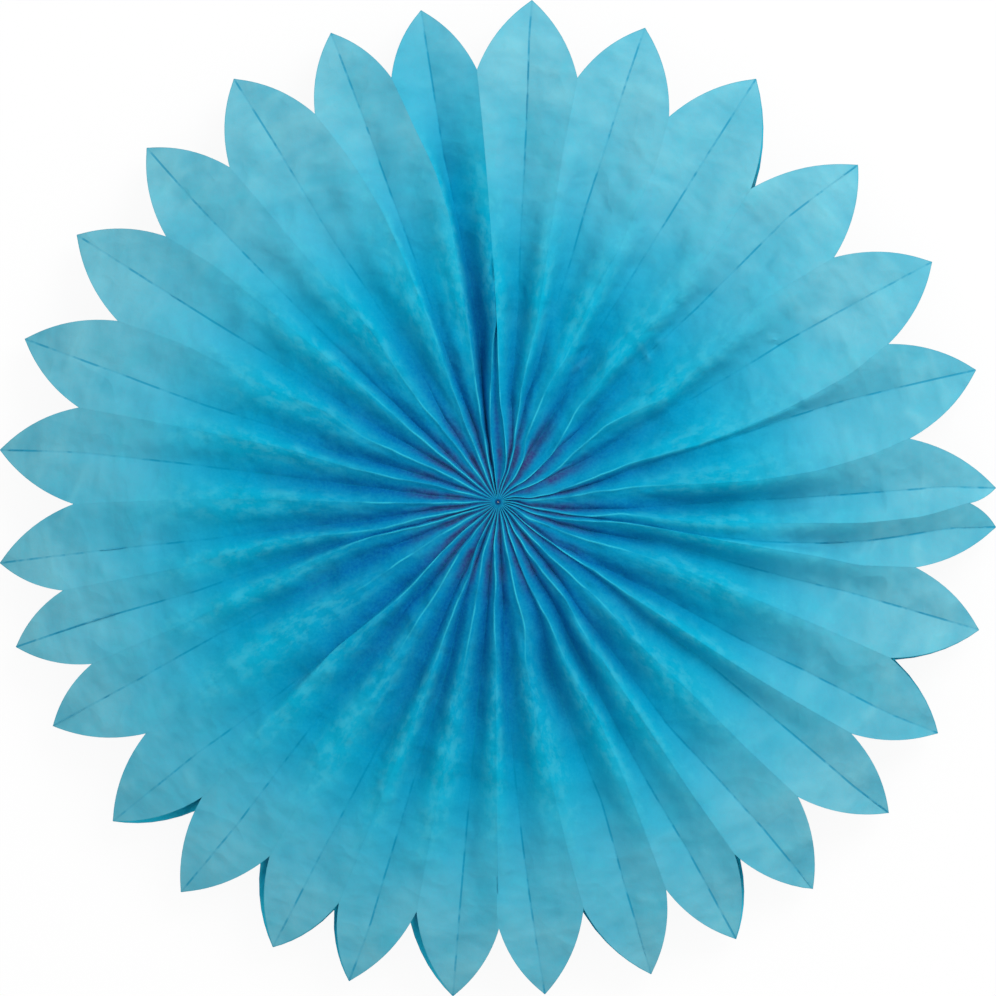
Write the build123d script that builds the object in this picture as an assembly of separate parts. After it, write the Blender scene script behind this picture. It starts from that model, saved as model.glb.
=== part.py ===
"""Paper fan rosette: thirty pointed petals of glued tissue leaves opened into a full circle.

Sixty die-cut leaves stand on edge round a small hub. Two leaves are glued together along their
mid-line, which makes the valley down the middle of a petal, and each is glued along both long
edges to a leaf of the next petal, which makes a ridge on the front and one on the back. Between
two valleys the leaves enclose a diamond-shaped cell.

The rosette lies on its back ridges in z = 0, front face up. X points right and Y up, as the
front is seen, and the hub's axis is Z.
"""

import os
from itertools import chain
from math import atan2, cos, hypot, sin, sqrt

from build123d import *

os.makedirs("parts", exist_ok=True)

# Driving sizes of the whole rosette, in millimetres
fan_width = 406.0
hub_thickness = 44.0
tip_thickness = 12.0

# One leaf: its wall, and half the height of the line of glue on its mid-line and edges
leaf_wall = 0.30
glue_half_height = 0.20

# Hub: the open hole, the ring where the leaves are packed solid, and the thread stitched through
# that ring, which the paper presses square
hub_hole_radius = 0.65
packed_radius = 3.4
thread_size = 0.40
thread_ring_radius = 2.3
thread_clearance = 0.05
thread_height_share = 0.5

# Closing seam between the last petal and the first, parted on both faces near the hub
seam_gap = 4.4
seam_gap_shares = (0.0, 0.0, 1.0, 0.0, 0.0, 0.0, 0.0)

# Room by which cutting shapes run past what they cut, and how far out the waste reaches
overrun = 2.0
waste_reach_share = 1.2

# Where the leaf's cross-sections stand: the first as a share of the hub hole's radius, so that the
# hole trims it, and the ones past the packed ring as shares of the longest reach from the hub
first_station_share = 0.9
station_shares = (0.14, 0.36, 0.60, 0.82, 1.02)

# The cut outline as the front is seen, in pixels of a square frame, y down, clockwise from the top
frame_px = 996.0
hub_px = (498.0, 502.0)
petal_tips_px = (
    (532, 0), (645, 28), (756, 79), (858, 165), (932, 262), (976, 370),
    (996, 488), (996, 527), (979, 630), (938, 733), (889, 813), (813, 889),
    (736, 939), (651, 974), (545, 994), (453, 996), (349, 981), (273, 947),
    (181, 892), (113, 821), (53, 726), (16, 647), (0, 563), (0, 450),
    (25, 339), (77, 235), (147, 148), (234, 79), (331, 33), (421, 10),
)
notches_px = (
    (577, 80), (668, 119), (749, 191), (832, 259), (886, 345), (907, 439),
    (968, 503), (913, 567), (888, 657), (849, 732), (796, 795), (733, 852),
    (665, 887), (583, 906), (499, 926), (417, 909), (340, 900), (271, 854),
    (203, 796), (148, 732), (94, 663), (65, 590), (76, 504), (81, 408),
    (120, 322), (168, 238), (231, 169), (316, 116), (392, 80), (477, 72),
)
edge_bulge_share = 0.08

# Plan positions worked out from the outline
mm_per_px = fan_width / frame_px


def plan_point(pixel):
    """A point of the outline in millimetres from the hub's axis."""
    across = (pixel[0] - hub_px[0]) * mm_per_px
    up = (hub_px[1] - pixel[1]) * mm_per_px
    return across, up


tips = [plan_point(pixel) for pixel in petal_tips_px]
notches = [plan_point(pixel) for pixel in notches_px]
petal_count = len(tips)
longest_reach = max(hypot(*tip) for tip in tips)
stations = [first_station_share * hub_hole_radius, packed_radius]
stations += [share * longest_reach for share in station_shares]


def bearing(point):
    """The direction of a plan point from the hub's axis, in radians."""
    return atan2(point[1], point[0])


def on_ray(angle, radius):
    """The plan point at a radius in a direction."""
    return radius * cos(angle), radius * sin(angle)


def half_thickness(radius):
    """Height of the mid-lines above the back ridges. The front ridges stand twice as high.

    A leaf's panels keep their width, so they lean further over as the petals widen outwards.
    """
    out = min(radius / longest_reach, 1)
    return sqrt((1 - out**2) * (hub_thickness / 2) ** 2 + out**2 * (tip_thickness / 2) ** 2)


def seam_half_angle(index):
    """Half the angle by which the seam's two edges stand apart at a station."""
    return seam_gap / 2 * seam_gap_shares[index] / stations[index]


def leaf_section(valley_angle, ridge_angle, index):
    """The leaf's chevron at one station, glued mid-line on the valley side, two edges on the ridge side.

    Each corner comes with how far it lies from the valley to the ridge, as a share.
    """
    radius = stations[index]
    valley = on_ray(valley_angle, radius)
    ridge = on_ray(ridge_angle, radius)
    width = hypot(ridge[0] - valley[0], ridge[1] - valley[1])
    wall = min(leaf_wall, width)
    middle = half_thickness(radius)
    top = 2 * middle
    profile = (
        (0, middle + glue_half_height),
        (width - wall, top),
        (width, top),
        (width, top - glue_half_height),
        (wall, middle),
        (width, glue_half_height),
        (width, 0),
        (width - wall, 0),
        (0, middle - glue_half_height),
    )
    corners = []
    for offset, height in profile:
        along = offset / width
        x = valley[0] + (ridge[0] - valley[0]) * along
        y = valley[1] + (ridge[1] - valley[1]) * along
        corners.append((along, (x, y, height)))
    return corners


def flat_face(*corners):
    """A flat face between corners."""
    return Face(Wire.make_polygon(corners, close=True))


def folded_strip(inner, outer):
    """The skin between two cross-sections.

    Paper bends without stretching, so each twisted panel falls into two flat triangles. Its crease
    runs from the ridge side, nearer the hub, to the valley side, farther out, on both of its faces.
    """
    faces = []
    for place in range(len(inner)):
        along_start, start = inner[place - 1]
        along_end, end = inner[place]
        far_start = outer[place - 1][1]
        far_end = outer[place][1]
        if along_start > along_end:
            faces.append(flat_face(start, end, far_end))
            faces.append(flat_face(start, far_end, far_start))
        else:
            faces.append(flat_face(start, end, far_start))
            faces.append(flat_face(end, far_end, far_start))
    return faces


def offcut(notch, tip):
    """The waste outside the die-cut edge, a bulging arc from the notch to the petal's tip."""
    chord = Vector(tip[0] - notch[0], tip[1] - notch[1])
    middle = Vector((tip[0] + notch[0]) / 2, (tip[1] + notch[1]) / 2)
    square = Vector(-chord.Y, chord.X)
    if square.dot(middle) < 0:
        square = -square
    crown = middle + square * edge_bulge_share
    notch = Vector(*notch)
    tip = Vector(*tip)
    past_notch = notch * ((notch.length + overrun) / notch.length) - chord.normalized() * overrun
    past_tip = tip + chord.normalized() * overrun
    far = longest_reach * waste_reach_share
    edge = Edge.make_three_point_arc(notch, crown, tip)
    rest = Wire.make_polygon(
        (tip, past_tip, past_tip.normalized() * far, past_notch.normalized() * far, past_notch, notch),
        close=False,
    )
    face = Face(Wire([edge, *rest.edges()]))
    waste = extrude(face, amount=hub_thickness + 2 * overrun, dir=(0, 0, 1))
    return Pos(0, 0, -overrun) * waste


hub_hole = Pos(0, 0, hub_thickness / 2) * Cylinder(hub_hole_radius, hub_thickness + 2 * overrun)


def stitch_ring(size):
    """The thread's run round the hub, through every leaf, at the given thickness."""
    inner = thread_ring_radius - size / 2
    outer = thread_ring_radius + size / 2
    ring = Cylinder(outer, size) - Cylinder(inner, size)
    return Pos(0, 0, thread_height_share * hub_thickness) * ring


stitch_hole = stitch_ring(thread_size + 2 * thread_clearance)


def leaf(tip, notch, part_sign):
    """One die-cut leaf between a petal's mid-line and the ridge at one of its notches."""
    sections = []
    for index in range(len(stations)):
        ridge_angle = bearing(notch) + part_sign * seam_half_angle(index)
        sections.append(leaf_section(bearing(tip), ridge_angle, index))
    ends = [flat_face(*(corner for _, corner in section)) for section in (sections[0], sections[-1])]
    strips = [folded_strip(*pair) for pair in zip(sections, sections[1:])]
    blank = Solid(Shell([*ends, *chain(*strips)]))
    return blank - [offcut(notch, tip), hub_hole, stitch_hole]


# Petals: a pair of leaves glued along the mid-line, clockwise from the top
for number in range(petal_count):
    opens_seam = 1 if number == 0 else 0
    closes_seam = 1 if number == petal_count - 1 else 0
    left_leaf = leaf(tips[number], notches[number - 1], -opens_seam)
    right_leaf = leaf(tips[number], notches[number], closes_seam)
    petal = Compound(children=[*left_leaf.solids(), *right_leaf.solids()])
    export_step(petal, f"parts/petal_{number + 1:02d}.step")
    print(f"petal_{number + 1:02d}", len(petal.solids()), round(petal.volume, 2))


# Closing tape: a narrow strip on each face across the parted seam, between the two ridge edges
def seam_edge(index, side):
    """A corner of the parted seam at a station, with the height of its front ridge."""
    angle = bearing(notches[-1]) + side * seam_half_angle(index)
    return (*on_ray(angle, stations[index]), 2 * half_thickness(stations[index]))


widest = seam_gap_shares.index(max(seam_gap_shares))
near, far = seam_edge(widest - 1, 0), seam_edge(widest + 1, 0)
left, right = seam_edge(widest, 1), seam_edge(widest, -1)


def tape_half(corners, height_share):
    """Half of a tape, from the seam's widest place to one end, on the front (1) or the back (0)."""
    lower = []
    upper = []
    for x, y, ridge in corners:
        base = (ridge - glue_half_height) * height_share
        lower.append((x, y, base))
        upper.append((x, y, base + glue_half_height))
    wires = [Wire.make_polygon(points, close=True) for points in (lower, upper)]
    return Solid.make_loft(wires, ruled=True)


for face_name, height_share in (("front", 1), ("back", 0)):
    tape = tape_half((near, left, right), height_share) + tape_half((far, right, left), height_share)
    export_step(tape, f"parts/seam_tape_{face_name}.step")
    print(f"seam_tape_{face_name}", round(tape.volume, 3))

# Binding thread: tied in a ring that holds the packed leaves round the hole
binding_thread = stitch_ring(thread_size)
export_step(binding_thread, "parts/binding_thread.step")
print("binding_thread", round(binding_thread.volume, 3))
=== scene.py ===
from math import atan2, cos, degrees, exp, hypot, pi, radians, sin, sqrt

import bmesh
import bpy
from mathutils import Matrix, Vector, noise


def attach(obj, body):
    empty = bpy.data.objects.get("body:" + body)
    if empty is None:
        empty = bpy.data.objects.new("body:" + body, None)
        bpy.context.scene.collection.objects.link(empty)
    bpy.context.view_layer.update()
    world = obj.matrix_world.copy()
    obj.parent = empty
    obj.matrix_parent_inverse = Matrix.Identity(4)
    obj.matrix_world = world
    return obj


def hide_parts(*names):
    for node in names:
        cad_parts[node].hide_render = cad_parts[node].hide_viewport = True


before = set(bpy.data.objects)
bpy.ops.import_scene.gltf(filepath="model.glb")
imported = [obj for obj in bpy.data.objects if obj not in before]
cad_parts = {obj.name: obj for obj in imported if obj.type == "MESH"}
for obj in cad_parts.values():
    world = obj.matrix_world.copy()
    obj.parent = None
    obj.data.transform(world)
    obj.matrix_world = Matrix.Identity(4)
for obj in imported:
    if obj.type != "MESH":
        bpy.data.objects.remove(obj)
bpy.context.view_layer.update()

# Petals: thirty pairs of die-cut tissue leaves, glued along each petal's mid-line, which is its
# valley, and along both long edges to the leaves of the next petals, which makes the ridges.
# Each leaf is one folded sheet of thin sky-blue paper, with a front panel and a back panel.
fan_width = 0.406
photo_width_px = 996
hub_px = (498, 502)
hub_thickness = 0.044
tip_thickness = 0.012
hub_hole_radius = 0.00065
paper_thickness = 0.00014
ridge_lap = 0.00008
ridge_lap_sharpness = 8
edge_bulge_share = 0.08
back_layer_drop = 0.0013
back_layer_bend = 0.025
back_crinkle_share = 0.4
bare_back_fade = 0.002

# Grooves, and the petals whose valley is deeper than the rest
packed_radius = 0.0012
front_groove = 0.0075
groove_reach = 0.042
tip_flattening = 0.62
flattening_from = 0.090
flattening_to = 0.205
right_deepening = 0.35
groove_spare = 0.0005
deeper_petals = {30: 2.0, 29: 1.15, 6: 1.15, 7: 1.15}

# Grid of paper in one leaf
back_panel_columns = 6
front_panel_columns = 14
rows_along = 104
row_crowding = 1.15
valley_start_share = 0.25
arc_steps = 48
edge_fit_from = 0.120
sharp_fold_degrees = 35

# The cut outline as the front is seen, y down, clockwise from the top
petal_tips_px = (
    (532, 0), (645, 28), (756, 79), (858, 165), (932, 262), (976, 370),
    (996, 488), (996, 527), (979, 630), (938, 733), (889, 813), (813, 889),
    (736, 939), (651, 974), (545, 994), (453, 996), (349, 981), (273, 947),
    (181, 892), (113, 821), (53, 726), (16, 647), (0, 563), (0, 450),
    (25, 339), (77, 235), (147, 148), (234, 79), (331, 33), (421, 10),
)

# How each valley runs from its tip to the hub
valley_bends_px = (
    ((529, 39), (527, 108), (520, 239), (517, 325), (511, 400), (511, 450)),
    ((621, 98), (604, 152), (584, 213), (569, 267), (547, 332), (538, 365), (524, 406), (515, 450)),
    ((708, 154), (651, 246), (599, 330), (571, 383), (545, 428)),
    ((812, 199), (786, 219), (755, 250), (696, 309), (631, 370), (602, 402), (582, 427)),
    ((855, 303), (781, 344), (711, 387), (638, 430), (605, 448), (587, 459)),
    ((914, 384), (836, 403), (785, 419), (700, 448), (628, 470), (561, 493)),
    ((940, 487), (865, 493), (795, 498), (730, 501), (660, 506), (582, 509), (551, 508)),
    ((950, 528), (918, 533), (861, 541), (814, 543), (757, 541), (700, 535), (640, 525)),
    ((918, 612), (844, 591), (785, 577), (719, 559), (660, 541), (602, 533), (561, 524)),
    ((888, 713), (802, 669), (751, 645), (660, 595), (612, 571), (571, 551), (551, 541)),
    ((852, 785), (777, 721), (701, 658), (643, 617), (602, 580), (582, 565)),
    ((762, 827), (714, 774), (666, 723), (625, 668), (602, 638), (578, 608), (557, 576)),
    ((686, 847), (638, 766), (600, 696), (571, 641), (553, 602), (531, 565)),
    ((623, 880), (600, 797), (547, 660), (539, 612), (518, 561)),
    ((505, 660), (504, 622), (502, 582)),
    ((482, 660), (485, 633), (488, 602), (490, 571)),
    ((371, 922), (380, 891), (450, 660), (462, 607), (476, 561)),
    ((327, 842), (380, 743), (425, 660), (448, 607), (468, 563)),
    ((240, 821), (320, 716), (380, 646), (411, 602), (442, 569), (457, 549)),
    ((201, 750), (303, 675), (355, 632), (381, 608), (422, 571), (452, 541)),
    ((145, 676), (242, 622), (330, 578), (386, 549), (432, 530), (452, 522)),
    ((105, 617), (200, 590), (284, 561), (340, 544), (384, 533), (430, 521)),
    ((122, 548), (210, 539), (305, 527), (371, 520), (422, 511), (442, 508)),
    ((84, 453), (179, 463), (274, 475), (371, 487), (432, 495)),
    ((126, 376), (204, 405), (280, 429), (340, 454), (391, 466), (420, 475), (442, 481)),
    ((152, 283), (217, 324), (271, 357), (340, 401), (386, 432), (429, 457), (452, 469)),
    ((204, 212), (278, 288), (340, 350), (371, 381), (405, 413), (442, 449)),
    ((278, 149), (334, 242), (400, 340), (428, 385), (447, 422), (462, 443)),
    ((363, 117), (393, 200), (417, 265), (442, 340), (460, 391), (477, 432), (483, 452)),
    ((433, 87), (443, 152), (456, 215), (480, 340), (484, 400), (487, 432)),
)

# How each ridge runs from its notch to the hub. The first is the seam's right edge, the last its left
ridge_bends_px = (
    ((477, 72), (492, 250), (497, 325), (499, 389), (501, 411), (505, 437), (506, 452), (504, 476)),
    ((577, 80), (562, 156), (549, 239), (536, 325), (521, 391), (514, 440), (508, 478)),
    ((668, 119), (655, 166), (616, 255), (588, 305), (565, 360), (545, 391), (525, 442), (509, 490)),
    ((749, 191), (724, 232), (676, 297), (598, 384), (575, 411), (557, 444), (538, 474)),
    ((832, 259), (756, 305), (660, 401), (602, 428), (571, 455), (543, 480)),
    ((886, 345), (848, 375), (766, 418), (700, 444), (628, 464), (592, 478), (561, 490), (530, 499)),
    ((907, 439), (867, 456), (814, 471), (751, 481), (700, 484), (633, 487), (587, 493), (561, 498)),
    ((968, 503), (920, 517), (861, 523), (804, 523), (719, 522), (660, 519), (621, 513), (563, 515)),
    ((913, 567), (857, 565), (814, 556), (719, 540), (628, 522), (602, 521), (563, 519), (525, 511)),
    ((888, 657), (660, 561), (622, 549), (575, 536), (549, 526), (531, 519)),
    ((849, 732), (757, 678), (660, 615), (622, 590), (592, 569), (563, 553), (531, 530)),
    ((796, 795), (741, 743), (688, 690), (636, 641), (597, 598), (563, 568), (536, 543)),
    ((733, 852), (683, 781), (638, 713), (602, 660), (578, 623), (563, 596), (541, 569), (518, 537)),
    ((665, 887), (625, 781), (600, 723), (565, 660), (548, 620), (531, 588), (515, 555)),
    ((583, 906), (525, 660), (524, 622), (516, 595), (509, 561), (503, 530)),
    ((499, 926), (496, 660), (494, 610), (496, 575), (494, 540)),
    ((417, 909), (465, 660), (476, 602), (484, 551)),
    ((340, 900), (436, 660), (457, 602), (470, 573), (481, 535)),
    ((271, 854), (339, 736), (401, 648), (420, 617), (442, 584), (465, 545)),
    ((204, 795), (291, 702), (340, 643), (384, 610), (413, 585), (445, 549), (465, 528)),
    ((148, 732), (225, 675), (303, 619), (371, 582), (416, 551), (448, 530)),
    ((94, 663), (189, 622), (274, 582), (340, 549), (371, 536), (401, 530), (429, 524), (452, 517)),
    ((65, 590), (179, 568), (284, 540), (340, 533), (386, 528), (422, 518), (450, 513)),
    ((76, 504), (231, 499), (330, 501), (391, 503), (451, 503)),
    ((81, 408), (179, 427), (295, 451), (340, 465), (397, 479), (442, 487)),
    ((120, 322), (189, 347), (274, 391), (330, 414), (365, 438), (405, 456), (442, 473)),
    ((168, 238), (217, 268), (351, 378), (374, 397), (413, 432), (442, 456)),
    ((231, 169), (304, 255), (378, 340), (399, 373), (424, 408), (457, 447)),
    ((316, 116), (350, 160), (382, 212), (406, 265), (436, 340), (447, 374), (464, 420), (480, 460)),
    ((392, 80), (415, 130), (436, 175), (452, 228), (470, 340), (476, 384), (483, 432), (490, 470)),
    ((477, 72), (492, 250), (496, 325), (493, 345), (491, 384), (490, 427), (492, 450), (495, 478)),
)

# Notches of the back layer where they show past the front one, by ridge
back_notches_px = {
    3: (752, 194), 9: (893, 659), 12: (739, 857), 14: (582, 909), 16: (410, 917), 17: (335, 908),
    18: (262, 858), 19: (200, 808),
}

# Crumples of the paper: centre, half length, direction in degrees, and how strongly up (or down)
crumple_height = 0.0011
crumples_px = (
    ((685, 303), 12, -50, 1.0), ((658, 330), 17, 35, -1.0), ((773, 340), 9, 20, 1.0),
    ((800, 408), 10, 15, -0.8), ((580, 365), 15, 60, 0.9), ((645, 355), 14, -35, 1.0),
    ((640, 395), 16, 25, -0.8), ((612, 190), 20, -40, 0.7), ((315, 675), 24, 40, 0.8),
    ((298, 216), 18, -60, 0.7), ((240, 400), 18, 70, 0.6), ((770, 262), 16, 75, -0.8),
    ((395, 735), 20, 50, -0.6), ((700, 590), 20, -30, 0.6), ((540, 250), 16, 80, 0.6),
)


def plan_point(pixel):
    """Plan position in metres of a point in the photograph, from the hub's axis."""
    across = (pixel[0] - hub_px[0]) * fan_width / photo_width_px
    up = (hub_px[1] - pixel[1]) * fan_width / photo_width_px
    return across, up


def from_hub(pixel):
    """Radius in metres and bearing in degrees clockwise from the top of a point in the photograph."""
    across, up = plan_point(pixel)
    return hypot(across, up), degrees(atan2(across, up))


def near_bearing(bearing, due):
    """The same bearing, counted so that it lies within half a turn of the one that is due."""
    return due + (bearing - due + 180) % 360 - 180


def smooth_step(value, low, high):
    """0 below low, 1 above high and a soft ramp between."""
    share = min(max((value - low) / (high - low), 0), 1)
    return share * share * (3 - 2 * share)


# Fold lines: their bearings are kept at each millimetre of radius
radius_step = 0.001
radius_steps = 215
longest_reach = max(from_hub(tip)[0] for tip in petal_tips_px)


def bearings_along(bends):
    """Bearing of a fold at each step of radius, straight between its bends and steady past them."""
    outer = from_hub(bends[0])[1]
    bends = sorted((radius, near_bearing(turn, outer)) for radius, turn in map(from_hub, bends))
    bearings = []
    for step in range(radius_steps + 1):
        radius = min(max(step * radius_step, bends[0][0]), bends[-1][0])
        for (near, start), (far, end) in zip(bends, bends[1:]):
            if near <= radius <= far:
                bearings.append(start + (end - start) * (radius - near) / max(far - near, 1e-9))
                break
    return bearings


fold_lines = [bearings_along(ridge_bends_px[0])]
for tip, valley, ridge in zip(petal_tips_px, valley_bends_px, ridge_bends_px[1:]):
    fold_lines.append(bearings_along((tip, *valley)))
    fold_lines.append(bearings_along(ridge))

# Each fold is counted near its turn round the hub, sixty folds to the full circle
fold_pitch = 6
first_fold_due = -4
for line, bearings in enumerate(fold_lines):
    for step, bearing in enumerate(bearings):
        bearings[step] = near_bearing(bearing, first_fold_due + fold_pitch * line)

# Folds stay in order, a few sheets apart, and are evenly spaced round the hub's hole. The seam's
# two edges may come closer together
closest_folds = 0.0004
even_radius = 0.012
first_fold_at_hub = -2
seam_tightening = 0.03
seam_share = 0.2
settling_rounds = 60
for step in range(radius_steps + 1):
    radius = max(step * radius_step, hub_hole_radius)
    least = min(degrees(closest_folds / radius), fold_pitch / 2)
    inner = max(0, 1 - radius / even_radius)
    ring = []
    for line, bearings in enumerate(fold_lines):
        even = first_fold_at_hub + (fold_pitch - seam_tightening) * line
        ring.append(bearings[step] * (1 - inner) + even * inner)
    for _ in range(settling_rounds):
        for line in range(len(ring) - 1):
            short = least - (ring[line + 1] - ring[line])
            if short > 0:
                ring[line] -= short / 2
                ring[line + 1] += short / 2
        wrap = least * seam_share - (ring[0] + 360 - ring[-1])
        if wrap > 0:
            ring[0] += wrap / 2
            ring[-1] -= wrap / 2
    for line, bearing in enumerate(ring):
        fold_lines[line][step] = bearing

# Folds waver a little near the hub, as hand-opened paper does
fold_wave = 0.0005
wave_starts = 0.015
wave_ends = 0.090
waves_per_metre = 150
for line, bearings in enumerate(fold_lines):
    raw = list(bearings)
    for step in range(2, radius_steps - 1):
        radius = step * radius_step
        ease = min(radius / wave_starts, 1) * max(1 - radius / wave_ends, 0)
        wave = noise.noise(Vector((line * 7.3, radius * waves_per_metre, 0.5))) * fold_wave * ease
        bearings[step] = sum(raw[step - 2 : step + 3]) / 5 + degrees(wave / radius)


def bearing_at(line, radius):
    """Bearing of a fold at any radius."""
    place = min(max(radius / radius_step, 0), radius_steps - 0.001)
    step = int(place)
    bearings = fold_lines[line]
    return bearings[step] + (bearings[step + 1] - bearings[step]) * (place - step)


def half_thickness(radius):
    """Height of the petals' mid-plane, half that of the front ridges."""
    out = min(radius / longest_reach, 1)
    return sqrt((1 - out**2) * (hub_thickness / 2) ** 2 + out**2 * (tip_thickness / 2) ** 2)


def groove_depths(radius, turn, narrow, deeper):
    """Depths of a valley on the front and on the back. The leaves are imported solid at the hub.

    The front is pressed flatter towards the tips, and flatter on the left than on the right. Except
    on the deeper petals, it is hardly deeper than the narrower of its two panels is wide.
    """
    opened = 1 - exp(-max(radius - packed_radius, 0) / groove_reach)
    flat = 1 - tip_flattening * smooth_step(radius, flattening_from, flattening_to)
    leaning = 1 + right_deepening * sin(turn)
    front = min(front_groove * opened * flat * leaning, narrow + groove_spare) * deeper
    back = (2 * half_thickness(radius) - front - 2 * paper_thickness) * opened
    return front, back


# How a panel curls in section: above 0 its folds are crisp, below 0 they are rounded
hub_curl = 0.4
middle_curl = -0.6
middle_from = 0.030
middle_full = 0.070
tips_from = 0.115
tips_full = 0.170


def rise(share, radius):
    """Cross-section of a panel from its valley to its ridge: crisp near the hub, then softly
    rounded, and flat in the tips."""
    curl = hub_curl + (middle_curl - hub_curl) * smooth_step(radius, middle_from, middle_full)
    curl -= middle_curl * smooth_step(radius, tips_from, tips_full)
    return share + curl * sin(2 * pi * share) / (2 * pi)


# Crinkles: their heights, how many there are to the metre or the radian, and where they stand
long_crinkle = 0.0012
small_crinkle = 0.0010
sharp_crease = 0.0018
fine_grain = 0.00025
long_per_radian = 14
long_per_metre = 22
small_per_metre = 75
sharp_per_metre = 48
grain_per_metre = 230
crinkles_from = 0.02
crinkles_full = 0.07
calmer_from = 0.13
calmer_full = 0.20
calming = 0.5


def crinkle(x, y, radius):
    """Height of the paper's crinkles: long ones that run with the folds, small, sharp and fine ones."""
    turn = atan2(x, y)
    long_one = noise.noise(Vector((turn * long_per_radian, radius * long_per_metre, 3.1)))
    small = noise.noise(Vector((x * small_per_metre, y * small_per_metre, 7.7)))
    sharp = abs(noise.noise(Vector((x * sharp_per_metre, y * sharp_per_metre, 5.1))))
    fine = noise.noise(Vector((x * grain_per_metre, y * grain_per_metre, 1.3)))
    calm = 1 - calming * smooth_step(radius, calmer_from, calmer_full)
    middle = smooth_step(radius, crinkles_from, crinkles_full) * calm
    crinkles = long_crinkle * long_one + small_crinkle * small - sharp_crease * sharp + fine_grain * fine
    return middle * crinkles


# Crumples: how far they reach, in half lengths, how fast they fade, and how their creases run
crumple_reach = 3
crumple_fading = 1.2
creases_aside = 1.3
creases_along = 0.5
crumples = []
for centre, half_length, direction, crest in crumples_px:
    crumples.append((plan_point(centre), half_length * fan_width / photo_width_px, radians(direction), crest))


def crumple(x, y):
    """How far a point lies up or down in one of the crumples, from 1 to -1."""
    lift = 0
    for (centre_x, centre_y), size, direction, crest in crumples:
        across = x - centre_x
        up = y - centre_y
        if abs(across) < crumple_reach * size and abs(up) < crumple_reach * size:
            along = (across * cos(direction) + up * sin(direction)) / size
            aside = (up * cos(direction) - across * sin(direction)) / size
            fold = 1 - abs((creases_aside * aside + creases_along * along + 1) % 2 - 1) * 2
            lift += crest * exp(-crumple_fading * (along**2 + aside**2)) * fold
    return lift


def edge_reach(valley_line, ridge_line, tip, notch):
    """Pairs of panel share and radius along the die-cut arc from a petal's tip to its notch.

    The last share passes 1, or falls short of it, where the notch lies off the front ridge.
    """
    start = Vector(plan_point(tip))
    end = Vector(plan_point(notch))
    chord = end - start
    square = Vector((-chord.y, chord.x))
    if square.dot(start + end) < 0:
        square = -square
    reach = []
    for step in range(arc_steps + 1):
        along = step / arc_steps
        point = start + chord * along + square * (4 * edge_bulge_share * along * (1 - along))
        radius = point.length
        valley = bearing_at(valley_line, radius)
        span = bearing_at(ridge_line, radius) - valley
        turn = near_bearing(degrees(atan2(point.x, point.y)), valley)
        share = max((turn - valley) / span, 0) if step else 0
        if reach:
            share = max(share, reach[-1][0])
        reach.append((share, radius))
    return reach


def reach_at(reach, share):
    """Radius of the die-cut edge at a share of the panel's width."""
    for (low, near), (high, far) in zip(reach, reach[1:]):
        if low <= share <= high:
            return near + (far - near) * (share - low) / max(high - low, 1e-6)
    return reach[-1][1]


# What the paper remembers at each of its points, for its colours. Lengths are in millimetres
paper_measures = (
    "from_valley", "from_ridge", "from_edge", "up_the_fold", "outwards", "round_the_hub",
    "crumpled", "painted_light_radius", "bare_back",
)
# The tissue is painted a deeper blue towards the hub as painted shade. The shade reaches less far in on the
# side towards the lamp at the upper right, and further out on the deeper petals
painted_light_bearing = 36
lamp_side_lightening = 16
deep_petal_painted_shade = 40


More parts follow.
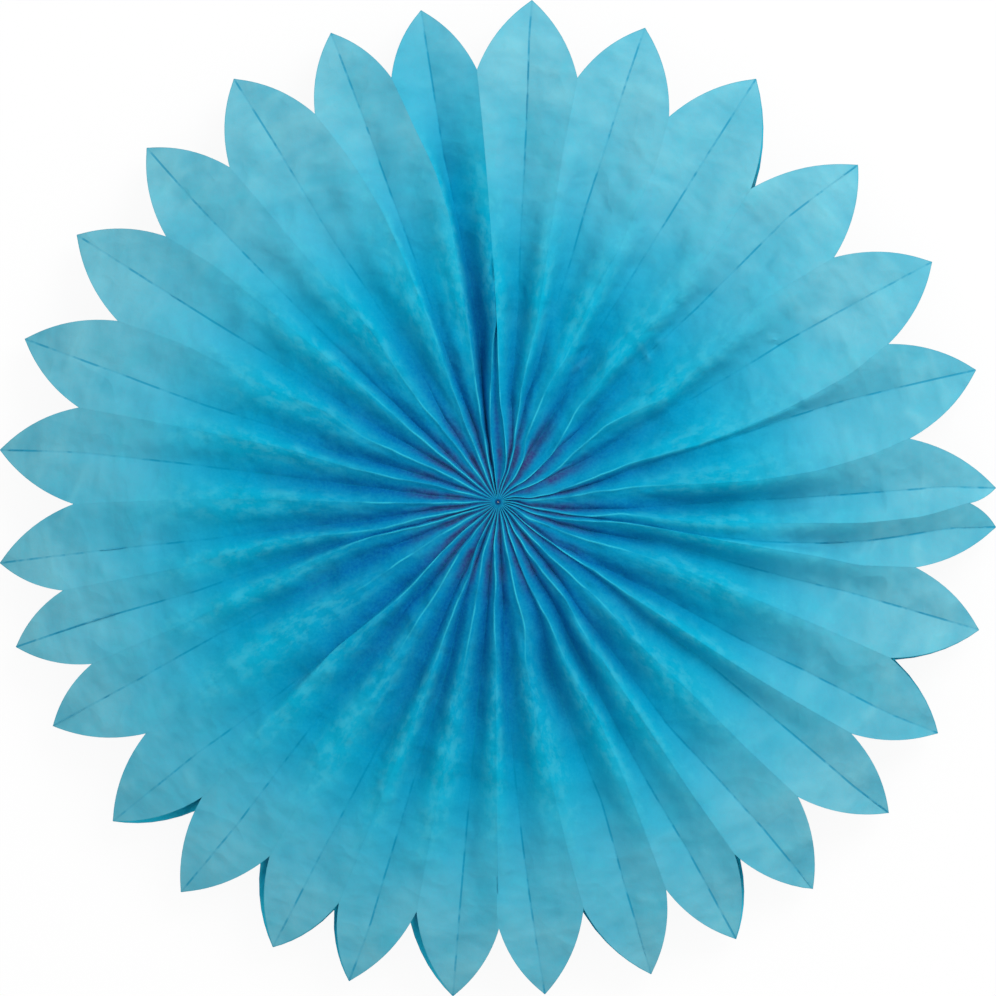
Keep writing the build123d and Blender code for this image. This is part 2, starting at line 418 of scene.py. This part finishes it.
def fold_leaf(bm, valley_line, ridge_line, tip, notch, back_notch, deeper):
    """Adds one leaf: a grid of paper folded from the back ridge over the glued mid-line to the
    front ridge. Where the back layer shows in a notch, its corner is raised to the front one."""
    columns = back_panel_columns + 1 + front_panel_columns
    made = bmesh.ops.create_grid(bm, x_segments=columns, y_segments=rows_along, size=0.5)["verts"]
    front_reach = edge_reach(valley_line, ridge_line, tip, notch)
    back_reach = edge_reach(valley_line, ridge_line, tip, back_notch)
    layers = {name: bm.verts.layers.float[name] for name in paper_measures}
    notch_radius = from_hub(notch)[0]
    front = set()
    for vert in made:
        column = round((vert.co.x + 0.5) * columns)
        along = round((vert.co.y + 0.5) * rows_along) / rows_along
        on_front = column > back_panel_columns
        if on_front:
            front.add(vert)
            reach = front_reach
            place = (column - back_panel_columns - 1) / front_panel_columns
            share = 0.5 * place + 0.5 * (0.5 - 0.5 * cos(pi * place))
            start = hub_hole_radius * (valley_start_share + (1 - valley_start_share) * share)
        else:
            reach = back_reach
            share = 1 - column / back_panel_columns
            start = hub_hole_radius * valley_start_share
        rim = reach_at(reach, share * reach[-1][0])
        radius = start + (rim - start) * along**row_crowding

        valley = bearing_at(valley_line, radius)
        ridge = bearing_at(ridge_line, radius)
        other_ridge = bearing_at(2 * valley_line - ridge_line, radius)
        span = abs(radians(ridge - valley)) * radius
        narrow = min(span, abs(radians(other_ridge - valley)) * radius)
        lap = ridge_lap / max(span, ridge_lap) * share**ridge_lap_sharpness
        lap *= smooth_step(radius, 0.010, 0.030)
        shift = 1 + (reach[-1][0] - 1) * smooth_step(radius, edge_fit_from, reach[-1][1])
        turn = radians(valley + (ridge - valley) * (share + lap) * shift)
        x = radius * sin(turn)
        y = radius * cos(turn)

        front_depth, back_depth = groove_depths(radius, radians(valley), narrow, deeper)
        lift = rise(share, radius)
        crumpled = 0
        bare = 0
        if on_front:
            crumpled = crumple(x, y)
            z = 2 * half_thickness(radius) - front_depth * (1 - lift)
            z += crinkle(x, y, radius) + crumple_height * crumpled
        else:
            z = back_depth * (1 - lift) + back_crinkle_share * max(crinkle(x, y, radius), 0)
            if back_notch != notch:
                raised = smooth_step(radius, notch_radius - back_layer_bend, notch_radius) * share**2
                z += (2 * half_thickness(radius) - back_layer_drop - z) * raised
                covered_to = reach_at(front_reach, share * shift)
                bare = smooth_step(radius, covered_to - bare_back_fade, covered_to)
        vert.co = (x, y, z)

        vert[layers["from_valley"]] = span * share * 1000
        vert[layers["from_ridge"]] = span * (1 - share) * 1000
        vert[layers["from_edge"]] = (rim - radius) * 1000
        vert[layers["up_the_fold"]] = share
        vert[layers["outwards"]] = radius * 1000
        vert[layers["round_the_hub"]] = degrees(turn)
        vert[layers["crumpled"]] = crumpled
        vert[layers["bare_back"]] = bare
        # Radius for the painted shade: counted larger towards the lamp's side, which is painted paler, and
        # smaller on the deeper petals, which are painted darker
        painted_light_shift = lamp_side_lightening * cos(turn - radians(painted_light_bearing)) - deep_petal_painted_shade * (deeper - 1)
        vert[layers["painted_light_radius"]] = radius * 1000 + painted_light_shift
    bm.normal_update()
    faces = {face for vert in made for face in vert.link_faces}
    if sum(face.normal.z for face in faces if front.issuperset(face.verts)) < 0:
        bmesh.ops.reverse_faces(bm, faces=list(faces))


# Colours of the dyed tissue, and of the painted light and painted shade on it
washed_blue = (0.130, 0.500, 0.640)
faded_blue = (0.200, 0.570, 0.690)
band_highlight_blue = (0.240, 0.640, 0.740)
sky_blue = (0.001, 0.440, 0.660)
hub_shade_blue = (0.000, 0.255, 0.530)
band_shade_blue = (0.000, 0.300, 0.500)
bright_blue = (0.050, 0.600, 0.760)
groove_shade_blue = (0.000, 0.098, 0.400)
middle_ridge_highlight_blue = (0.085, 0.580, 0.730)
violet_shade = (0.044, 0.026, 0.180)
bare_back_lightened_blue = (0.000, 0.640, 0.860)
crumple_highlight_blue = (0.130, 0.640, 0.800)
crumple_shade_blue = (0.000, 0.260, 0.430)
fibre_blue = (0.030, 0.640, 0.780)
valley_shade_blue = (0.000, 0.310, 0.520)
hub_ridge_highlight_blue = (0.040, 0.640, 0.820)
hub_hole_shade_blue = (0.008, 0.060, 0.220)
cut_edge_blue = (0.030, 0.330, 0.430)

tissue = bpy.data.materials.new("sky_blue_tissue")
tissue.use_nodes = True
nodes = tissue.node_tree.nodes
links = tissue.node_tree.links
nodes.clear()


def measure_of(name):
    """A measure kept on the paper itself, such as how far a spot lies from its valley."""
    node = nodes.new("ShaderNodeAttribute")
    node.attribute_name = name
    return node.outputs["Fac"]


def ramp_between(value, low, high, start=0.0, end=1.0):
    """A soft ramp of a value between two limits."""
    node = nodes.new("ShaderNodeMapRange")
    node.interpolation_type = "SMOOTHSTEP"
    node.inputs["From Min"].default_value = low
    node.inputs["From Max"].default_value = high
    node.inputs["To Min"].default_value = start
    node.inputs["To Max"].default_value = end
    links.new(value, node.inputs["Value"])
    return node.outputs["Result"]


def multiplied(first, second):
    """The product of two values."""
    node = nodes.new("ShaderNodeMath")
    node.operation = "MULTIPLY"
    links.new(first, node.inputs[0])
    if isinstance(second, float):
        node.inputs[1].default_value = second
    else:
        links.new(second, node.inputs[1])
    return node.outputs[0]


def tinted(share, base, tint):
    """A colour mixed towards a tint."""
    node = nodes.new("ShaderNodeMix")
    node.data_type = "RGBA"
    links.new(share, node.inputs[0])
    for place, colour in ((6, base), (7, tint)):
        if isinstance(colour, tuple):
            node.inputs[place].default_value = (*colour, 1)
        else:
            links.new(colour, node.inputs[place])
    return node.outputs[2]


from_valley = measure_of("from_valley")
from_ridge = measure_of("from_ridge")
from_edge = measure_of("from_edge")
up_the_fold = measure_of("up_the_fold")
outwards = measure_of("outwards")
round_the_hub = measure_of("round_the_hub")
crumpled = measure_of("crumpled")
painted_light_radius = measure_of("painted_light_radius")
bare_back = measure_of("bare_back")
coordinates = nodes.new("ShaderNodeTexCoord").outputs["Object"]


def mottle(scale, detail, roughness=0.6, place=coordinates, distortion=0.0):
    """Noise on the object's own coordinates, or on other ones."""
    node = nodes.new("ShaderNodeTexNoise")
    node.inputs["Scale"].default_value = scale
    node.inputs["Detail"].default_value = detail
    node.inputs["Roughness"].default_value = roughness
    node.inputs["Distortion"].default_value = distortion
    links.new(place, node.inputs["Vector"])
    return node.outputs["Fac"]


def round_and_out(per_millimetre, per_degree):
    """Coordinates that run with the petals: outwards, and round the hub."""
    node = nodes.new("ShaderNodeCombineXYZ")
    links.new(multiplied(outwards, per_millimetre), node.inputs["X"])
    links.new(multiplied(round_the_hub, per_degree), node.inputs["Y"])
    return node.outputs[0]


# Bands across the petals, painted lighter and darker as painted highlight and painted shade of the crinkles
# that run across them, and painted shade deepening from the tips to the hub
band = mottle(1, 1.5, 0.5, round_and_out(0.10, 0.16), 0.25)
paper = tinted(ramp_between(mottle(26, 4), 0.35, 0.65), washed_blue, faded_blue)
# Painted highlight in the lighter bands
paper = tinted(ramp_between(band, 0.50, 0.75, 0.0, 0.50), paper, band_highlight_blue)
# Painted shade: a deeper blue towards the hub, where light reaches the folds only through other paper
paper = tinted(ramp_between(painted_light_radius, 95, 192, 1.0, 0.0), paper, sky_blue)
paper = tinted(ramp_between(painted_light_radius, 15, 110, 1.0, 0.0), paper, hub_shade_blue)
# Painted shade in the darker bands
paper = tinted(ramp_between(band, 0.25, 0.50, 0.15, 0.0), paper, band_shade_blue)
paper = tinted(ramp_between(mottle(60, 4), 0.50, 0.75, 0.0, 0.22), paper, bright_blue)

# Painted shade in the grooves: a deeper blue towards each valley, where light has to pass the paper more than
# once
groove_shade = multiplied(ramp_between(up_the_fold, 0.0, 0.9, 0.85, 0.0), ramp_between(painted_light_radius, 15, 150, 1.0, 0.0))
paper = tinted(groove_shade, paper, groove_shade_blue)

# Painted highlight, broken, towards the ridges in the middle of the petals
middle_ridge_highlight = ramp_between(mottle(1, 5, 0.62, round_and_out(0.15, 0.45)), 0.44, 0.64, 0.0, 0.36)
middle_ridge_highlight = multiplied(middle_ridge_highlight, ramp_between(up_the_fold, 0.25, 0.85))
middle_ridge_highlight = multiplied(middle_ridge_highlight, ramp_between(outwards, 40, 90))
middle_ridge_highlight = multiplied(middle_ridge_highlight, ramp_between(outwards, 130, 185, 1.0, 0.0))
paper = tinted(middle_ridge_highlight, paper, middle_ridge_highlight_blue)

# Painted violet shade deep in the folds round the hub
hub_fold_shade = multiplied(ramp_between(up_the_fold, 0.15, 0.75, 1.0, 0.0), ramp_between(outwards, 18, 46, 1.0, 0.0))
hub_fold_shade = multiplied(hub_fold_shade, ramp_between(outwards, 1.5, 5))
hub_fold_shade = multiplied(hub_fold_shade, ramp_between(mottle(90, 2), 0.38, 0.60, 0.3, 0.95))
paper = tinted(hub_fold_shade, paper, violet_shade)

# Back layer where it shows past the front, painted lighter and bluer as painted light in its shade; painted
# highlight and painted shade on the crumples; and fibres
paper = tinted(multiplied(bare_back, 0.8), paper, bare_back_lightened_blue)
# Painted highlight on the raised crumples, painted shade in the sunken ones
paper = tinted(ramp_between(crumpled, 0.10, 0.80, 0.0, 0.12), paper, crumple_highlight_blue)
paper = tinted(ramp_between(crumpled, -0.80, -0.10, 0.25, 0.0), paper, crumple_shade_blue)
paper = tinted(ramp_between(mottle(900, 4, 0.7), 0.3, 0.7, 0.0, 0.14), paper, fibre_blue)

# A thin painted shade down the glued crease of each valley, broken by the paper's mottle and fading towards
# the hub
valley_line = ramp_between(from_valley, 0.20, 0.60, 1.0, 0.0)
valley_line = multiplied(valley_line, ramp_between(mottle(85, 3), 0.44, 0.58, 0.15, 0.72))
valley_line = multiplied(valley_line, ramp_between(outwards, 60, 120, 0.3, 1.0))
paper = tinted(valley_line, paper, valley_shade_blue)

# Painted highlight on the crest of each ridge near the hub
ridge_line = ramp_between(from_ridge, 0.08, 0.60, 1.0, 0.0)
ridge_line = multiplied(ridge_line, ramp_between(outwards, 40, 85, 0.9, 0.0))
ridge_line = multiplied(ridge_line, ramp_between(mottle(75, 1), 0.36, 0.60, 0.25, 1.0))
ridge_line = multiplied(ridge_line, ramp_between(outwards, 3, 16, 0.5, 1.0))
ridge_line = multiplied(ridge_line, ramp_between(up_the_fold, 0.55, 0.90))
paper = tinted(ridge_line, paper, hub_ridge_highlight_blue)

# Painted shade at the rim of the hub's hole, and the die-cut edge
paper = tinted(ramp_between(outwards, 0.9, 1.6, 0.9, 0.0), paper, hub_hole_shade_blue)
paper = tinted(ramp_between(from_edge, 0.15, 0.50, 0.50, 0.0), paper, cut_edge_blue)


def bumped(height, reach, strength, under=None):
    """Normals bent by a height of the given reach in metres."""
    node = nodes.new("ShaderNodeBump")
    node.inputs["Strength"].default_value = strength
    node.inputs["Distance"].default_value = reach
    links.new(height, node.inputs["Height"])
    if under:
        links.new(under, node.inputs["Normal"])
    return node.outputs["Normal"]


# Relief of the paper: its grain, soft dents, the bands, and sharp creases
creased = nodes.new("ShaderNodeMath")
creased.operation = "PINGPONG"
creased.inputs[1].default_value = 0.5
links.new(mottle(46, 1.5, 0.5), creased.inputs[0])
relief = bumped(mottle(420, 5, 0.65), 0.0005, 0.25)
relief = bumped(mottle(70, 2, 0.5), 0.0030, 0.5, relief)
relief = bumped(band, 0.0050, 0.34, relief)
relief = bumped(creased.outputs[0], 0.0045, 0.5, relief)

# Matt tissue that lets a quarter of the light through
face_side = nodes.new("ShaderNodeBsdfPrincipled")
face_side.inputs["Roughness"].default_value = 0.75
face_side.inputs["Specular IOR Level"].default_value = 0.02
links.new(paper, face_side.inputs["Base Color"])
links.new(relief, face_side.inputs["Normal"])
glow_through = nodes.new("ShaderNodeBsdfTranslucent")
links.new(paper, glow_through.inputs["Color"])
links.new(relief, glow_through.inputs["Normal"])
blend = nodes.new("ShaderNodeMixShader")
blend.inputs["Fac"].default_value = 0.26
links.new(face_side.outputs[0], blend.inputs[1])
links.new(glow_through.outputs[0], blend.inputs[2])
surface = nodes.new("ShaderNodeOutputMaterial")
links.new(blend.outputs[0], surface.inputs["Surface"])


def finished_piece(bm, name, material):
    """Puts a finished bmesh in the scene."""
    mesh = bpy.data.meshes.new(name)
    bm.to_mesh(mesh)
    bm.free()
    mesh.materials.append(material)
    piece = bpy.data.objects.new(name, mesh)
    bpy.context.scene.collection.objects.link(piece)
    return piece


for number, tip in enumerate(petal_tips_px):
    bm = bmesh.new()
    for measure in paper_measures:
        bm.verts.layers.float.new(measure)
    valley_at = 2 * number + 1
    deeper = deeper_petals.get(number + 1, 1)
    for side, ridge_number in ((-1, number), (1, number + 1)):
        notch = ridge_bends_px[ridge_number][0]
        back_notch = back_notches_px.get(ridge_number, notch)
        fold_leaf(bm, valley_at, valley_at + side, tip, notch, back_notch, deeper)
    for face in bm.faces:
        face.smooth = True
    for edge in bm.edges:
        edge.smooth = not edge.is_boundary and edge.calc_face_angle(0) < radians(sharp_fold_degrees)
    petal = finished_piece(bm, f"tissue_petal_{number + 1:02d}", tissue)
    wall = petal.modifiers.new("paper", "SOLIDIFY")
    wall.thickness = paper_thickness
    wall.offset = -1
    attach(petal, "root")
    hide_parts(f"petal_{number + 1:02d}")

# Closing tape: narrow strips of the same tissue on the front and the back, stuck over the seam
# where the last leaf meets the first. The front one shows where the seam parts near the hub.
tape_columns = 6
tape_rows = 80
tape_start = 0.0008
tape_reach = 0.106
tape_drop = 0.0006
tape_sag = 0.0016
tape_level_to = 0.020
tape_paper = tissue.copy()
tape_paper.name = "closing_tape_paper"

# Millimetres far enough from folds and edges to take on none of their tints
clear_of_folds = 3
clear_of_edges = 9

for name, on_front in (("front", True), ("back", False)):
    bm = bmesh.new()
    layers = {measure: bm.verts.layers.float.new(measure) for measure in paper_measures}
    bmesh.ops.create_grid(bm, x_segments=tape_columns, y_segments=tape_rows, size=0.5)
    for vert in bm.verts:
        share = vert.co.x + 0.5
        radius = tape_start + (tape_reach - tape_start) * (vert.co.y + 0.5)
        left = bearing_at(len(fold_lines) - 1, radius) - 360
        right = bearing_at(0, radius)
        turn = radians(left + (right - left) * share)
        sag = (tape_drop + tape_sag * sin(pi * share)) * smooth_step(radius, tape_start, tape_level_to)
        z = 2 * half_thickness(radius) - sag if on_front else sag + paper_thickness
        vert.co = (radius * sin(turn), radius * cos(turn), z)
        vert[layers["from_valley"]] = clear_of_folds
        vert[layers["from_ridge"]] = clear_of_folds
        vert[layers["from_edge"]] = clear_of_edges
        vert[layers["up_the_fold"]] = 0.15 + 0.85 * abs(2 * share - 1)
        vert[layers["outwards"]] = radius * 1000
        vert[layers["painted_light_radius"]] = radius * 1000
    bmesh.ops.recalc_face_normals(bm, faces=bm.faces)
    for face in bm.faces:
        face.smooth = True
    strip = finished_piece(bm, f"tape_strip_{name}", tape_paper)
    wall = strip.modifiers.new("paper", "SOLIDIFY")
    wall.thickness = paper_thickness
    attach(strip, "root")
    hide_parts(f"seam_tape_{name}")

# Binding thread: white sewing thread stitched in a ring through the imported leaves, deep inside the
# hub. Its plies show as a fine pattern on a round section swept round the hub's axis.
thread_radius = 0.0002
thread_ring_radius = 0.0023
thread_sides = 10
thread_steps = 48
shaded_white = (0.62, 0.62, 0.60)
thread_white = (0.86, 0.86, 0.84)
sewing_thread = bpy.data.materials.new("sewing_thread")
sewing_thread.use_nodes = True
nodes = sewing_thread.node_tree.nodes
links = sewing_thread.node_tree.links
ply = nodes.new("ShaderNodeTexWave")
ply.inputs["Scale"].default_value = 900
ply.inputs["Distortion"].default_value = 1.5
links.new(nodes.new("ShaderNodeTexCoord").outputs["Object"], ply.inputs["Vector"])
shade = nodes.new("ShaderNodeMix")
shade.data_type = "RGBA"
shade.inputs[6].default_value = (*shaded_white, 1)
shade.inputs[7].default_value = (*thread_white, 1)
links.new(ply.outputs["Fac"], shade.inputs[0])
fibre = nodes["Principled BSDF"]
fibre.inputs["Roughness"].default_value = 0.7
links.new(shade.outputs[2], fibre.inputs["Base Color"])
bm = bmesh.new()
bmesh.ops.create_circle(
    bm,
    segments=thread_sides,
    radius=thread_radius,
    matrix=Matrix.Translation((thread_ring_radius, 0, hub_thickness / 2)) @ Matrix.Rotation(pi / 2, 4, "X"),
)
bmesh.ops.spin(
    bm, geom=bm.edges[:], cent=(0, 0, 0), axis=(0, 0, 1), angle=2 * pi, steps=thread_steps, use_merge=True
)
bmesh.ops.remove_doubles(bm, verts=bm.verts, dist=0.000005)
bmesh.ops.recalc_face_normals(bm, faces=bm.faces)
for face in bm.faces:
    face.smooth = True
thread = finished_piece(bm, "stitched_thread", sewing_thread)
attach(thread, "root")
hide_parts("binding_thread")

# Studio: a wide matt white table on which the rosette lies. It shows almost pure white to the
# camera and in reflections, and keeps a faint shadow.
table_half_width = 6
table_brightness = 0.93
table_white = bpy.data.materials.new("table_white")
table_white.use_nodes = True
nodes = table_white.node_tree.nodes
links = table_white.node_tree.links
matt = nodes["Principled BSDF"]
matt.inputs["Base Color"].default_value = (0.86, 0.86, 0.86, 1)
matt.inputs["Roughness"].default_value = 0.9
bright = nodes.new("ShaderNodeEmission")
bright.inputs["Color"].default_value = (1, 1, 1, 1)
path = nodes.new("ShaderNodeLightPath")
rays = path.outputs["Is Camera Ray"]
for other in ("Is Glossy Ray", "Is Transmission Ray"):
    either = nodes.new("ShaderNodeMath")
    either.operation = "MAXIMUM"
    links.new(rays, either.inputs[0])
    links.new(path.outputs[other], either.inputs[1])
    rays = either.outputs[0]
table_mix = nodes.new("ShaderNodeMixShader")
links.new(multiplied(rays, table_brightness), table_mix.inputs["Fac"])
links.new(matt.outputs[0], table_mix.inputs[1])
links.new(bright.outputs[0], table_mix.inputs[2])
links.new(table_mix.outputs[0], nodes["Material Output"].inputs["Surface"])
bm = bmesh.new()
bmesh.ops.create_grid(bm, x_segments=1, y_segments=1, size=table_half_width)
table = finished_piece(bm, "white_table", table_white)

# Light: an even white room, and one large soft lamp from beyond the upper right edge, which
# shades the folds as in the photograph.
room_brightness = 0.83
lamp_width = 1.1
lamp_power = 18.5
lamp_place = Vector((0.85, 1.05, 1.15))
room = bpy.data.worlds.new("white_room")
bpy.context.scene.world = room
room.use_nodes = True
room.node_tree.nodes["Background"].inputs["Color"].default_value = (1, 1, 1, 1)
room.node_tree.nodes["Background"].inputs["Strength"].default_value = room_brightness
lamp_data = bpy.data.lights.new("soft_lamp", "AREA")
lamp_data.shape = "DISK"
lamp_data.size = lamp_width
lamp_data.energy = lamp_power
lamp = bpy.data.objects.new("soft_lamp", lamp_data)
bpy.context.scene.collection.objects.link(lamp)
lamp.location = lamp_place
lamp.rotation_euler = (-lamp_place).to_track_quat("-Z", "Y").to_euler()

# Camera: straight above the rosette and far off, with the fan's width filling the frame at the
# height of the petals' outline.
camera_height = 3.2
outline_height = 0.010
sensor_width_mm = 36
camera_data = bpy.data.cameras.new("camera")
camera_data.sensor_width = sensor_width_mm
camera_data.sensor_fit = "HORIZONTAL"
camera_data.lens = sensor_width_mm * (camera_height - outline_height) / fan_width
camera = bpy.data.objects.new("camera", camera_data)
bpy.context.scene.collection.objects.link(camera)
camera.location = (0, (hub_px[1] - photo_width_px / 2) * fan_width / photo_width_px, camera_height)
bpy.context.scene.camera = camera
bpy.context.scene.view_settings.view_transform = "Standard"
